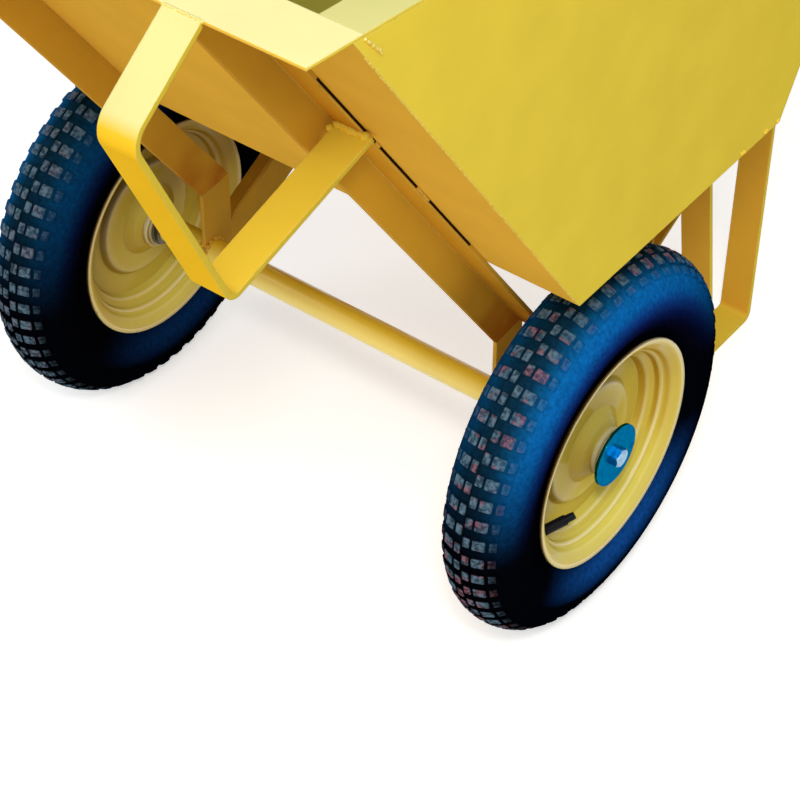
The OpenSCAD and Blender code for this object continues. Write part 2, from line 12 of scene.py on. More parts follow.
import bmesh
import bpy
from mathutils import Matrix, Vector


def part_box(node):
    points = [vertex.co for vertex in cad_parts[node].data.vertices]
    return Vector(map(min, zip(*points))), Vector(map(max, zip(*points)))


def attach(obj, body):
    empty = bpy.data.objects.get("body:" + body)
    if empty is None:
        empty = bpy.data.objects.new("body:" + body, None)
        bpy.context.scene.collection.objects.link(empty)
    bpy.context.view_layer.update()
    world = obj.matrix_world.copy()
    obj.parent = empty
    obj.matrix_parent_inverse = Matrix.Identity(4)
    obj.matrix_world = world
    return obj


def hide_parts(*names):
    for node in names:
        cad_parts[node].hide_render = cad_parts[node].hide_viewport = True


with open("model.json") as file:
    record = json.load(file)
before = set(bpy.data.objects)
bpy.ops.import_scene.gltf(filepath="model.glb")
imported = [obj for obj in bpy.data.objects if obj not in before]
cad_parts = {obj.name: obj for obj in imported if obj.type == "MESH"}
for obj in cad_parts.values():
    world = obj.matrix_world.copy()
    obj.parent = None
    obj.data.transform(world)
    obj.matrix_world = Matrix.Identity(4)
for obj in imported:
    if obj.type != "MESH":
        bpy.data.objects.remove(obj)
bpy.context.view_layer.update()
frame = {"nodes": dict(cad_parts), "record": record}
nodes = frame["nodes"]

# %% [markdown]
# ## The camera
# The photo was taken with a long lens from the front, the right and above. The camera's place was
# worked out from the ellipses of both wheels, so it is given from the middle of the axle. A camera
# looks along its own -Z, so its +Z has to point back from the object to the viewer. A Track To
# constraint could aim it too, but it would turn the camera away from the photo's framing.

# %% Camera
MM = 0.001
view_azimuth, view_elevation = radians(37.28), radians(43.03)
camera_from_axle = Vector((1183.2, -1477.6, 1662.9))*MM
lens_mm = 118.3


def middle(node):
    """The middle of a CAD node's box."""
    low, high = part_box(node)
    return (low + high)/2


axle = middle("axle_bar")
view_back = Vector((sin(view_azimuth)*cos(view_elevation),
                    -cos(view_azimuth)*cos(view_elevation),
                    sin(view_elevation)))
camera_data = bpy.data.cameras.new("photo_camera")
camera_data.lens = lens_mm
camera = bpy.data.objects.new("photo_camera", camera_data)
camera.location = axle + camera_from_axle
camera.rotation_euler = view_back.to_track_quat("Z", "Y").to_euler()
bpy.context.scene.collection.objects.link(camera)
bpy.context.scene.camera = camera
print("camera at", tuple(round(v, 3) for v in camera.location))

# %% [markdown]
# ## Colours and nodes
# Colours are written as sRGB hex values, as they look on a screen. Shaders count in linear light, so
# one function turns the one into the other. A second small function adds a shader node, sets its
# properties and fills its inputs with values or with links.

# %% Helpers for materials


def linear(hex_colour):
    channels = [int(hex_colour[i:i + 2], 16)/255 for i in (1, 3, 5)]
    return tuple(c/12.92 if c <= 0.04045 else ((c + 0.055)/1.055)**2.4 for c in channels) + (1,)


def add_node(material, kind, inputs, **settings):
    tree = material.node_tree
    node = tree.nodes.new(kind)
    for name, value in settings.items():
        setattr(node, name, value)
    for name, value in inputs.items():
        if isinstance(value, bpy.types.NodeSocket):
            tree.links.new(value, node.inputs[name])
        else:
            node.inputs[name].default_value = value
    return node


def new_material(name):
    material = bpy.data.materials.new(name)
    material.use_nodes = True
    return material, material.node_tree.nodes["Principled BSDF"]


def join(material, output, shader_input):
    material.node_tree.links.new(output, shader_input)


print("pure yellow in linear light:", linear("#ffff00"))

# %% [markdown]
# ## Yellow enamel: painted light and shade
# The steel is sprayed with yellow enamel, and its colour carries painted light and shade. The colour
# follows the way a face looks: a painted shade for faces turned down and forward, another colour for
# upright ones, and a painted top light for faces that look up above a given height. A dot product with
# the side the light comes from measures the turn of a face. A painted image could do the same, but it
# needs an unwrapped mesh.

# %% Painted light and shade
lit_side = (0.75, 0.25, 0.6)
top_light_rise = 60*MM


def lit_and_shaded_paint(material, coords, shade, face, top, top_from):
    """shade: colour of faces turned down and forward, painted as their shade; face: of upright ones;
    top: painted top light on faces that look up.
    """
    towards_light = add_node(material, "ShaderNodeVectorMath",
                     {0: coords.outputs["Normal"], 1: lit_side}, operation="DOT_PRODUCT")
    lit_share = add_node(material, "ShaderNodeMapRange",
                      {"Value": towards_light.outputs["Value"], "From Min": -0.3, "From Max": 0.65})
    paint = add_node(material, "ShaderNodeMix",
                     {"Factor": lit_share.outputs["Result"], "A": linear(shade), "B": linear(face)},
                     data_type="RGBA")
    place = add_node(material, "ShaderNodeSeparateXYZ", {"Vector": coords.outputs["Object"]})
    high = add_node(material, "ShaderNodeMapRange",
                    {"Value": place.outputs["Z"], "From Min": top_from,
                     "From Max": top_from + top_light_rise})
    up = add_node(material, "ShaderNodeSeparateXYZ", {"Vector": coords.outputs["Normal"]})
    top_lit = add_node(material, "ShaderNodeMapRange",
                       {"Value": up.outputs["Z"], "From Min": 0.3, "From Max": 0.75,
                        "To Max": high.outputs["Result"]})
    top_highlighted = add_node(material, "ShaderNodeMix",
                        {"Factor": top_lit.outputs["Result"],
                         "A": paint.outputs["Result"], "B": linear(top)}, data_type="RGBA")
    return top_highlighted.outputs["Result"]


print("painted light comes from", lit_side)

# %% [markdown]
# ## Yellow enamel: painted highlights and chips
# Edges are painted paler, as a highlight. The Bevel node rounds the shading of edges, and the difference
# to the true normal marks them. A few chips on those edges show rust. The ridges of the pressed rims
# get a painted highlight, most of all where they look up. Pointiness, which is over a half where a fine
# mesh bends outwards, finds them.

# %% Painted highlights on edges and ridges, and rust chips
edge_highlight, ridge_highlight, rust = "#f8e489", "#fff4c8", "#7a4312"


def edge_light_and_chips(material, coords, rounded, paint, ridge_light):
    """rounded: the Bevel node, paint: the colour so far, and the last: how strong the painted highlight
    on the ridges is, from 0 to 1.
    """
    true_normal = add_node(material, "ShaderNodeNewGeometry", {})
    along = add_node(material, "ShaderNodeVectorMath",
                     {0: rounded.outputs["Normal"], 1: true_normal.outputs["True Normal"]},
                     operation="DOT_PRODUCT")
    # Painted highlight: edges are paler
    edge = add_node(material, "ShaderNodeMapRange",
                    {"Value": along.outputs["Value"], "From Min": 1.0, "From Max": 0.8, "To Max": 0.4})
    edge_lit = add_node(material, "ShaderNodeMix",
                    {"Factor": edge.outputs["Result"], "A": paint, "B": linear(edge_highlight)},
                    data_type="RGBA")
    # Painted highlight on the rims' ridges, strongest where they look up
    up = add_node(material, "ShaderNodeSeparateXYZ", {"Vector": coords.outputs["Normal"]})
    facing_up = add_node(material, "ShaderNodeMapRange",
                             {"Value": up.outputs["Z"], "From Min": -0.2, "From Max": 0.5,
                              "To Min": 0.3*ridge_light, "To Max": ridge_light})
    ridge = add_node(material, "ShaderNodeMapRange",
                     {"Value": true_normal.outputs["Pointiness"], "From Min": 0.502, "From Max": 0.515,
                      "To Max": facing_up.outputs["Result"]})
    ridge_lit = add_node(material, "ShaderNodeMix",
                      {"Factor": ridge.outputs["Result"], "A": edge_lit.outputs["Result"],
                       "B": linear(ridge_highlight)}, data_type="RGBA")
    chip_spots = add_node(material, "ShaderNodeTexNoise",
                          {"Vector": coords.outputs["Object"], "Scale": 1/(7*MM), "Detail": 2.0})
    chipped = add_node(material, "ShaderNodeMapRange",
                       {"Value": chip_spots.outputs["Fac"], "From Min": 0.66, "From Max": 0.70,
                        "To Max": edge.outputs["Result"]})
    rusty = add_node(material, "ShaderNodeMix",
                     {"Factor": chipped.outputs["Result"], "A": ridge_lit.outputs["Result"],
                      "B": linear(rust)}, data_type="RGBA")
    return rusty.outputs["Result"]


print("painted highlights and chips:", edge_highlight, "on edges,", ridge_highlight, "on ridges,", rust, "in chips")

# %% [markdown]
# ## Yellow enamel: painted shade
# The lower chassis is painted darker and browner, as shade, and the lower ends of the struts darker and
# reddish. Patches of noise break up both. Ambient Occlusion finds nooks, which are painted darker as
# shade, most of all in the upper front of a parked wheel's dish.

# %% Painted shade low down and in the dish
low_shade_rise = 110*MM
# Colour of the painted shade in nooks and in the wheels' dishes
dish_shade_colour = "#4e3410"
dish_side = Vector((0, -0.7, 0.7))
dish_middle = axle.dot(dish_side)


def low_and_dish_shade(material, coords, mottle, paint, low_shade_colour, low_shade_below, dish_shade):
    """mottle: the noise that breaks up the painted shade low down, paint: the colour so far."""
    place = add_node(material, "ShaderNodeSeparateXYZ", {"Vector": coords.outputs["Object"]})
    # Painted shade: darker and browner below a given height, reddish on the struts
    low = add_node(material, "ShaderNodeMapRange",
                   {"Value": place.outputs["Z"], "From Min": low_shade_below,
                    "From Max": low_shade_below - low_shade_rise, "To Max": 0.6})
    low_patches = add_node(material, "ShaderNodeMapRange",
                      {"Value": mottle.outputs["Fac"], "From Min": 0.35, "From Max": 0.6,
                       "To Max": low.outputs["Result"]})
    low_shaded = add_node(material, "ShaderNodeMix",
                     {"Factor": low_patches.outputs["Result"], "A": paint, "B": linear(low_shade_colour)},
                     data_type="RGBA")
    # Painted shade: darker in nooks, most of all in the upper front of a wheel's dish
    upper_front = add_node(material, "ShaderNodeVectorMath",
                           {0: coords.outputs["Object"], 1: dish_side}, operation="DOT_PRODUCT")
    dish_shadow = add_node(material, "ShaderNodeMapRange",
                         {"Value": upper_front.outputs["Value"], "From Min": dish_middle - 30*MM,
                          "From Max": dish_middle + 70*MM, "To Min": 0.15*dish_shade, "To Max": dish_shade})
    occluded = add_node(material, "ShaderNodeAmbientOcclusion", {"Distance": 70*MM}, samples=8)
    dish_shaded = add_node(material, "ShaderNodeMapRange",
                       {"Value": occluded.outputs["AO"], "From Min": 1.0, "From Max": 0.6,
                        "To Max": dish_shadow.outputs["Result"]})
    shaded_paint = add_node(material, "ShaderNodeMix",
                     {"Factor": dish_shaded.outputs["Result"], "A": low_shaded.outputs["Result"],
                      "B": linear(dish_shade_colour)}, data_type="RGBA")
    return shaded_paint.outputs["Result"]


print("painted shade lies above and ahead of", tuple(round(v, 3) for v in axle))

# %% [markdown]
# ## Yellow enamel: the finishes
# One function puts the layers together, because tray, chassis and wheels were painted alike, and their
# copies differ in painted light and shade. Spray paint levels to a faint orange-peel skin, so a fine
# noise drives a bump. Larger patches make it a little lighter or darker, and a little glossier or
# duller.

# %% Enamel
rim_height, never = 0.70, 9.0


def enamel(name, shade, face, top, top_from=never, low_shade_colour="#b08c38", low_shade_below=0.0, dish_shade=0.0, ridge_light=0.0,
           rough=0.45, specular=0.0):
    """top_from, where the painted top light starts, and the height below which shade is painted are in
    metres, and the painted dish shade and ridge highlight go from 0 to 1.
    """
    material, shader = new_material(name)
    coords = add_node(material, "ShaderNodeTexCoord", {})
    rounded = add_node(material, "ShaderNodeBevel", {"Radius": 1.6*MM}, samples=6)
    mottle = add_node(material, "ShaderNodeTexNoise",
                      {"Vector": coords.outputs["Object"], "Scale": 1/(60*MM), "Detail": 5.0})
    peel = add_node(material, "ShaderNodeTexNoise",
                    {"Vector": coords.outputs["Object"], "Scale": 1/(3.5*MM), "Detail": 1.0})
    paint = lit_and_shaded_paint(material, coords, shade, face, top, top_from)
    paint = edge_light_and_chips(material, coords, rounded, paint, ridge_light)
    paint = low_and_dish_shade(material, coords, mottle, paint, low_shade_colour, low_shade_below, dish_shade)
    tone = add_node(material, "ShaderNodeMapRange",
                    {"Value": mottle.outputs["Fac"], "From Min": 0.3, "From Max": 0.7,
                     "To Min": 0.96, "To Max": 1.03})
    toned = add_node(material, "ShaderNodeHueSaturation",
                     {"Color": paint, "Value": tone.outputs["Result"]})
    gloss = add_node(material, "ShaderNodeMapRange",
                     {"Value": mottle.outputs["Fac"], "To Min": rough - 0.07, "To Max": rough + 0.07})
    bump = add_node(material, "ShaderNodeBump",
                    {"Height": peel.outputs["Fac"], "Distance": 0.15*MM, "Strength": 0.35,
                     "Normal": rounded.outputs["Normal"]})
    join(material, toned.outputs["Color"], shader.inputs["Base Color"])
    join(material, gloss.outputs["Result"], shader.inputs["Roughness"])
    join(material, bump.outputs["Normal"], shader.inputs["Normal"])
    shader.inputs["Specular IOR Level"].default_value = specular
    return material


# Painted light: faces that look up above rim_height are painted lighter
tray_enamel = enamel("enamel on sheet steel with painted top light", "#e9b23e", "#e9cd45", "#eae2a0", rim_height)
bar_enamel = enamel("enamel on the rim with dimmer painted top light", "#e9b23e", "#e9cd45", "#d2cd84", rim_height)
# Copies painted darker as shade: the tray's inside, the chassis and the struts; the feet are painted
# lighter as if lit
shaded_inside_enamel = enamel("enamel inside the tray, painted darker as shade", "#958a36", "#98903a", "#98903a", rough=0.6)
lit_foot_enamel = enamel("enamel on flat bar, painted lighter as if lit", "#f8c328", "#cfb63a", "#d8d18b", rim_height)
shaded_chassis_enamel = enamel("enamel on angle iron, painted darker as shade", "#d69a2a", "#cc9c30", "#dcb634",
                        low_shade_below=0.36, rough=0.5)
shaded_strut_enamel = enamel("enamel on angle iron, painted darker and reddish as shade", "#d69a2a", "#cc9c30", "#dcb634",
                      low_shade_colour="#8e2a0a", low_shade_below=0.385, rough=0.5)
# The rims carry painted shade in the dish and painted highlights on their ridges
wheel_enamel = enamel("gloss enamel on pressed rims", "#b88a14", "#d6bd48", "#e6d862", 0.0,
                      dish_shade=1.0, ridge_light=0.8, rough=0.14, specular=0.08)
# The faces turned forward and down are the pale ones, a painted highlight along the axle tube, and its
# top is painted darker as shade
tube_enamel = enamel("gloss enamel on the axle tube, with a painted highlight", "#fce272", "#d2ac20", "#d2ac20",
                     rough=0.2, specular=0.5)
print("made", tray_enamel.name, "and", shaded_chassis_enamel.name, "and", wheel_enamel.name)

# %% [markdown]
# ## Tyre rubber: where a point lies
# The marks on a tyre follow its round section, so the material first works out where a point lies: how
# far it is from the ring in the middle of the section, at which angle from the crown, and how far out
# from the wheel's middle plane. A UV map could hold that too, but Object coordinates need no unwrapping.

# %% Place on the tyre
wheel_x = middle("right_hub").x
# Radius of the ring in the middle of the section, and of the section itself
section_c = 148*MM
section_r = 39.5*MM


def place_on_tyre(material, coords):
    """The sockets that say where a point lies, by name."""
    wheel = add_node(material, "ShaderNodeMapping",
                     {"Vector": coords.outputs["Object"], "Location": (0, -axle.y, -axle.z)})
    part = add_node(material, "ShaderNodeSeparateXYZ", {"Vector": wheel.outputs["Vector"]})
    flat = add_node(material, "ShaderNodeCombineXYZ",
                    {"Y": part.outputs["Y"], "Z": part.outputs["Z"]})
    radius = add_node(material, "ShaderNodeVectorMath", {0: flat.outputs["Vector"]},
                      operation="LENGTH")
    out = add_node(material, "ShaderNodeMath", {0: part.outputs["X"]}, operation="ABSOLUTE")
    off_ring = add_node(material, "ShaderNodeMath", {0: radius.outputs["Value"], 1: section_c},
                        operation="SUBTRACT")
    off_plane = add_node(material, "ShaderNodeMath", {0: out.outputs["Value"], 1: wheel_x},
                         operation="SUBTRACT")
    aside = add_node(material, "ShaderNodeMath", {0: off_plane.outputs["Value"]}, operation="ABSOLUTE")
    spot = add_node(material, "ShaderNodeCombineXYZ",
                    {"X": off_ring.outputs["Value"], "Y": off_plane.outputs["Value"]})
    depth = add_node(material, "ShaderNodeVectorMath", {0: spot.outputs["Vector"]},
                     operation="LENGTH")
    turn = add_node(material, "ShaderNodeMath",
                    {0: aside.outputs["Value"], 1: off_ring.outputs["Value"]}, operation="ARCTAN2")
    share = add_node(material, "ShaderNodeMapRange", {"Value": turn.outputs["Value"], "From Max": pi})
    return {"from_axle": wheel.outputs["Vector"], "to_right": part.outputs["X"],
            "outward": off_plane.outputs["Value"], "from_ring": depth.outputs["Value"],
            "share_of_half_turn": share.outputs["Result"]}


print("the wheels' middle planes are", round(wheel_x/MM, 1), "mm from the barrow's")

# %% [markdown]
# ## Tyre rubber: painted sheen
# Moulded rubber with carbon black is nearly black. Its walls get a painted blue sheen, a painted
# reflection that is strongest below the tread and fades to the bead, so a colour ramp follows the angle
# round the section. It lies on the upper front of a parked wheel, where the light falls, and less on the
# side towards the barrow, which is in its shade. A second painted sheen lies by the bead at the bottom.
# The rest stays dark.

# %% Painted sheen
# Angle from the crown in degrees, colour
sheen_stops = [(0, "#0a2636"), (18, "#0a304a"), (30, "#0a4872"), (50, "#0c62a6"), (65, "#0a5ea6"),
               (80, "#0e3a80"), (95, "#0b1c54"), (110, "#070c2c"), (130, "#030410")]
bare_rubber, bead_sheen = "#030408", "#10458a"


def sheened_rubber(material, tyre):
    """The ramp's first stop is there already, and its last one gives way to the stops of the painted
    sheen.
    """
    sheen_ramp = add_node(material, "ShaderNodeValToRGB", {"Fac": tyre["share_of_half_turn"]})
    stops = sheen_ramp.color_ramp.elements
    stops.remove(stops[1])
    for angle, colour in sheen_stops[1:]:
        stops.new(angle/180).color = linear(colour)
    stops[0].color = linear(sheen_stops[0][1])
    # Painted sheen: strong on the upper front, where light falls, and weaker on the side in the barrow's
    # shade
    shaded = add_node(material, "ShaderNodeMapRange",
                      {"Value": tyre["outward"], "From Min": -30*MM, "From Max": 0.0,
                       "To Min": 0.35, "To Max": 1.0})
    upper_front = add_node(material, "ShaderNodeVectorMath",
                           {0: tyre["from_axle"], 1: (0, -0.08, 1)}, operation="DOT_PRODUCT")
    sunlit = add_node(material, "ShaderNodeMapRange",
                      {"Value": upper_front.outputs["Value"], "From Min": 0.0, "From Max": 160*MM,
                       "To Max": shaded.outputs["Result"]}, interpolation_type="SMOOTHSTEP")
    rubber = add_node(material, "ShaderNodeMix",
                      {"Factor": sunlit.outputs["Result"], "A": linear(bare_rubber),
                       "B": sheen_ramp.outputs["Color"]}, data_type="RGBA")
    # A second painted sheen by the bead at the bottom
    downward = add_node(material, "ShaderNodeVectorMath",
                        {0: tyre["from_axle"], 1: (0, 0.17, -0.985)}, operation="DOT_PRODUCT")
    at_bottom = add_node(material, "ShaderNodeMapRange",
                         {"Value": downward.outputs["Value"], "From Min": 60*MM, "From Max": 145*MM,
                          "To Max": shaded.outputs["Result"]}, interpolation_type="SMOOTHSTEP")
    by_bead = add_node(material, "ShaderNodeMapRange",
                       {"Value": tyre["share_of_half_turn"], "From Min": 0.46, "From Max": 0.62,
                        "To Max": at_bottom.outputs["Result"]})
    sheened = add_node(material, "ShaderNodeMix",
                       {"Factor": by_bead.outputs["Result"], "A": rubber.outputs["Result"],
                        "B": linear(bead_sheen)}, data_type="RGBA")
    return sheened.outputs["Result"]


print("painted sheen has", len(sheen_stops), "stops from crown to bead")

# %% [markdown]
# ## Tyre rubber: dusty blocks
# The tops of the blocks are scuffed and dusty. They are found by their height over the casing, and the
# dust thins out towards the shoulder. The right wheel has run through red earth more than the left
# one. A grain of 4 mm is coarser than real rubber's, so that it shows.

# %% Tread dust
grey_dust, red_dust = "#5c7688", "#8a5f6c"


def dusty_rubber(material, coords, tyre, grain, rubber):
    patch = add_node(material, "ShaderNodeTexNoise",
                     {"Vector": coords.outputs["Object"], "Scale": 1/(15*MM), "Detail": 2.0})
    reddish = add_node(material, "ShaderNodeMapRange",
                       {"Value": tyre["to_right"], "From Min": -wheel_x, "From Max": wheel_x,
                        "To Min": 0.2, "To Max": 1.0})
    tint = add_node(material, "ShaderNodeMapRange",
                    {"Value": patch.outputs["Fac"], "From Min": 0.5, "From Max": 0.6,
                     "To Max": reddish.outputs["Result"]})
    dust = add_node(material, "ShaderNodeMix",
                    {"Factor": tint.outputs["Result"], "A": linear(grey_dust), "B": linear(red_dust)},
                    data_type="RGBA")
    scuffed = add_node(material, "ShaderNodeMapRange",
                       {"Value": grain.outputs["Fac"], "From Min": 0.4, "From Max": 0.6,
                        "To Min": 0.2, "To Max": 0.9})
    row = add_node(material, "ShaderNodeMapRange",
                   {"Value": tyre["share_of_half_turn"], "From Min": 0.15, "From Max": 0.27,
                    "To Min": 1.0, "To Max": 0.0})
    lain = add_node(material, "ShaderNodeMath",
                    {0: scuffed.outputs["Result"], 1: row.outputs["Result"]}, operation="MULTIPLY")
    block_top = add_node(material, "ShaderNodeMapRange",
                         {"Value": tyre["from_ring"], "From Min": section_r + 1.5*MM,
                          "From Max": section_r + 2.3*MM, "To Max": lain.outputs["Value"]})
    dusty = add_node(material, "ShaderNodeMix",
                     {"Factor": block_top.outputs["Result"], "A": rubber, "B": dust.outputs["Result"]},
                     data_type="RGBA")
    return dusty.outputs["Result"]


print("dust is", grey_dust, "and, mostly on the right, also", red_dust)

# %% Tyre rubber


def tyre_rubber():
    material, shader = new_material("moulded carbon-black rubber with painted blue sheen")
    coords = add_node(material, "ShaderNodeTexCoord", {})
    tyre = place_on_tyre(material, coords)
    grain = add_node(material, "ShaderNodeTexNoise",
                     {"Vector": coords.outputs["Object"], "Scale": 1/(4*MM), "Detail": 4.0})
    tone = add_node(material, "ShaderNodeMapRange",
                    {"Value": grain.outputs["Fac"], "From Min": 0.3, "From Max": 0.7,
                     "To Min": 0.75, "To Max": 1.25})
    chalky = add_node(material, "ShaderNodeHueSaturation",
                      {"Color": sheened_rubber(material, tyre), "Value": tone.outputs["Result"]})
    skin = dusty_rubber(material, coords, tyre, grain, chalky.outputs["Color"])
    bump = add_node(material, "ShaderNodeBump",
                    {"Height": grain.outputs["Fac"], "Distance": 0.3*MM, "Strength": 0.35})
    join(material, skin, shader.inputs["Base Color"])
    join(material, bump.outputs["Normal"], shader.inputs["Normal"])
    shader.inputs["Roughness"].default_value = 0.6
    shader.inputs["Specular IOR Level"].default_value = 0.0
    return material


tyre_black = tyre_rubber()
print("made", tyre_black.name)

# %% [markdown]
# ## The small finishes
# Grips and valves are moulded rubber, the washers and bolts are zinc plated and passivated blue, the
# axle is drawn bar with oil on it and the bushes are greased nylon. Each has a noise at a real size:
# rubber grain of half a millimetre is drawn at 1.5 mm so that it shows. They differ only in numbers,
# so one function makes them all.

# %% Small finishes


def plain_finish(name, dark, light, spot_mm, rough, bump_mm, metallic=0.0, specular=0.5):
    """dark and light: the colours of the spots, rough: the roughness of both."""
    material, shader = new_material(name)
    coords = add_node(material, "ShaderNodeTexCoord", {})
    spots = add_node(material, "ShaderNodeTexNoise",
                     {"Vector": coords.outputs["Object"], "Scale": 1/(spot_mm*MM), "Detail": 3.0})
    colour = add_node(material, "ShaderNodeMix",
                      {"Factor": spots.outputs["Fac"], "A": linear(dark), "B": linear(light)},
                      data_type="RGBA")
    dullness = add_node(material, "ShaderNodeMapRange",
                        {"Value": spots.outputs["Fac"], "To Min": rough[0], "To Max": rough[1]})
    rounded = add_node(material, "ShaderNodeBevel", {"Radius": 0.6*MM}, samples=4)
    bump = add_node(material, "ShaderNodeBump",
                    {"Height": spots.outputs["Fac"], "Distance": bump_mm*MM, "Strength": 0.4,
                     "Normal": rounded.outputs["Normal"]})
    join(material, colour.outputs["Result"], shader.inputs["Base Color"])
    join(material, dullness.outputs["Result"], shader.inputs["Roughness"])
    join(material, bump.outputs["Normal"], shader.inputs["Normal"])
    shader.inputs["Metallic"].default_value = metallic
    shader.inputs["Specular IOR Level"].default_value = specular
    return material


# Moulded rubber is matt and a soft black, and butyl has a smooth skin with a faint shine
grip_rubber = plain_finish("matt moulded rubber", "#101012", "#1d1d20", 1.5, (0.55, 0.75), 0.2)
valve_rubber = plain_finish("smooth butyl rubber", "#08080c", "#14141c", 2.0, (0.35, 0.5), 0.05,
                            specular=0.1)
# Nylon is brown and half dull with its grease, and the slit's strip is a nearly black painted shadow
nylon = plain_finish("greased nylon", "#4a4436", "#5c5544", 4.0, (0.4, 0.55), 0.05)
slit_shadow = plain_finish("painted slit shadow", "#140603", "#2a1208", 5.0, (0.7, 0.9), 0.1, specular=0.03)
# Drawn bar is grey under a film of oil, and passivated zinc is a clear blue mirror
bright_steel = plain_finish("oiled drawn steel", "#55503f", "#7c7664", 3.0, (0.3, 0.5), 0.05, 1.0)
bolt_zinc = plain_finish("bright blue zinc", "#2c6a94", "#9cc6de", 5.0, (0.06, 0.16), 0.05, 1.0)
blue_zinc = plain_finish("blue passivated zinc", "#0c5a74", "#1f93b4", 6.0, (0.12, 0.3), 0.05, 1.0)
blue_zinc.node_tree.nodes["Principled BSDF"].inputs["Specular Tint"].default_value = linear("#2f95c4")
print("finishes:", sorted(material.name for material in bpy.data.materials))

# %% [markdown]
# ## Dressing the CAD nodes
# Each CAD node keeps its shape and gets the finish of its material slot. The slot has one yellow for
# all painted steel, so the pieces whose copy of it is painted lighter or darker are dressed by name
# afterwards. The panels of the tray need two finishes, because their inner faces are painted darker as
# shade: a face is an inner one if it is large and looks towards the middle of the tray.

# %% Finishes of the nodes
finish_of_slot = {
    "yellow_paint": tray_enamel, "tyre_rubber": tyre_black, "tube_rubber": valve_rubber,
    "grip_rubber": grip_rubber, "cap_plastic": valve_rubber, "bush_plastic": nylon,
    "blue_zinc": blue_zinc, "bare_steel": bright_steel,
}
for subpart in frame["record"]["subparts"]:
    mesh = nodes[subpart["node"]].data
    mesh.materials.clear()
    mesh.materials.append(finish_of_slot[subpart["material_slot"]])
finish_of_node = {"floor_cross_bar": shaded_chassis_enamel, "rail_cross_tube": shaded_chassis_enamel,
                  "axle_tube": tube_enamel}
for side in ("left", "right"):
    finish_of_node.update({
        side + "_hub": wheel_enamel, side + "_axle_bolt": bolt_zinc,
        side + "_tipping_foot": lit_foot_enamel, side + "_rim_bar": bar_enamel,
        side + "_front_strut": shaded_strut_enamel, side + "_axle_hanger": shaded_chassis_enamel,
        side + "_rear_rail": shaded_chassis_enamel, side + "_tray_post": shaded_chassis_enamel,
    })
for name, finish in finish_of_node.items():
    nodes[name].data.materials[0] = finish
print("dressed by name:", len(finish_of_node), "nodes")

# %% Inside of the tray
tray_heart = (middle("front_lip") + middle("rear_lip"))/2 - Vector((0, 0, 150*MM))
cut_edge_area = 0.01
inner_faces = 0
for name in ("nose_panel", "floor_panel", "rear_panel", "left_side_panel", "right_side_panel"):
    panel = nodes[name].data
    panel.materials.append(shaded_inside_enamel)
    for face in panel.polygons:
        if face.area > cut_edge_area and face.normal.dot(tray_heart - face.center) > 0:
            face.material_index = 1
            inner_faces += 1
print("inner faces of the tray:", inner_faces)

# %% [markdown]
# ## Turning a bmesh into a piece
# Each new piece starts as a bmesh and ends as an object at the origin. Faces are shaded smooth, with
# creases kept where they meet at more than a set angle, and the piece rides on its body.

# %% Piece helper


def make_piece(name, bm, material, body, crease=35):
    bmesh.ops.remove_doubles(bm, verts=bm.verts, dist=0.005*MM)
    bmesh.ops.recalc_face_normals(bm, faces=bm.faces)
    mesh = bpy.data.meshes.new(name)
    bm.to_mesh(mesh)
    bm.free()
    mesh.polygons.foreach_set("use_smooth", [True]*len(mesh.polygons))
    mesh.set_sharp_from_angle(angle=radians(crease))
    mesh.materials.append(material)
    piece = bpy.data.objects.new(name, mesh)
    bpy.context.scene.collection.objects.link(piece)
    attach(piece, body)
    print(name, "has", len(mesh.polygons), "faces")
    return piece


def wire(bm, points):
    """Joins points into a chain of edges and returns its vertices."""
    chain = [bm.verts.new(p) for p in points]
    for a, b in zip(chain, chain[1:]):
        bm.edges.new((a, b))
    return chain


def spin_wheel(bm, steps):
    """Turns the drawn section round the axle line, which is X through the origin here."""
    bmesh.ops.spin(bm, geom=bm.verts[:] + bm.edges[:], cent=(0, 0, 0), axis=(1, 0, 0),
                   angle=2*pi, steps=steps, use_merge=True)


# %% [markdown]
# ## Tyres
# A tyre is a turned shape with blocks on it. Half of its section is drawn first: spinning one vertex
# about the section's middle draws the round of the casing, and a few more vertices make the bead that
# sits in the rim. Mirroring gives the whole section and a full spin the casing. The blocks of one
# pitch are bevelled cubes, and a spin with use_duplicate copies them round the wheel. An Array modifier
# could copy them too, but it would need an empty to turn it.

# %% Tyre casing
bead_out, bead_in = 26.8*MM, 19.5*MM
bead_heel_r, bead_r = 104.6*MM, 101.9*MM
bead_toe = 23.8*MM
casing_in_r = 33.5*MM
outer_arc, inner_arc, inner_start = 134.03, 144.4, 35.6
section_middle = Vector((0, 0, section_c))


def arc(bm, vert, turn, steps):
    """Spins one vertex about the section's middle and returns the last one."""
    spun = bmesh.ops.spin(bm, geom=[vert], cent=section_middle, axis=(0, 1, 0),
                          angle=radians(turn), steps=steps)
    return next(v for v in spun["geom_last"] if isinstance(v, bmesh.types.BMVert))


def casing_section(bm):
    crown = bm.verts.new((0, 0, section_c + section_r))
    shoulder = arc(bm, crown, outer_arc, 26)
    bead = wire(bm, [(bead_out, 0, bead_heel_r), (bead_toe, 0, bead_r), (bead_in, 0, bead_r),
                     (bead_in, 0, section_c - casing_in_r*cos(radians(inner_start)))])
    bm.edges.new((shoulder, bead[0]))
    arc(bm, bead[-1], -inner_arc, 20)
    bmesh.ops.mirror(bm, geom=bm.verts[:] + bm.edges[:], axis="X", merge_dist=0.02*MM)


print("casing is", round(2*(section_c + section_r)/MM), "mm across without its blocks")

# %% Tread blocks
tread_pitches = 56
# Each row: angle on the section in degrees, width, length and height in millimetres
tread_rows = [(6.16, 7.4, 11.5, 2.5), (22.4, 12.0, 11.5, 2.5), (40.2, 8.6, 11.5, 1.9),
              (53.0, 7.0, 4.5, 0.6)]
block_root = 2*MM
block_edge = 1.2*MM


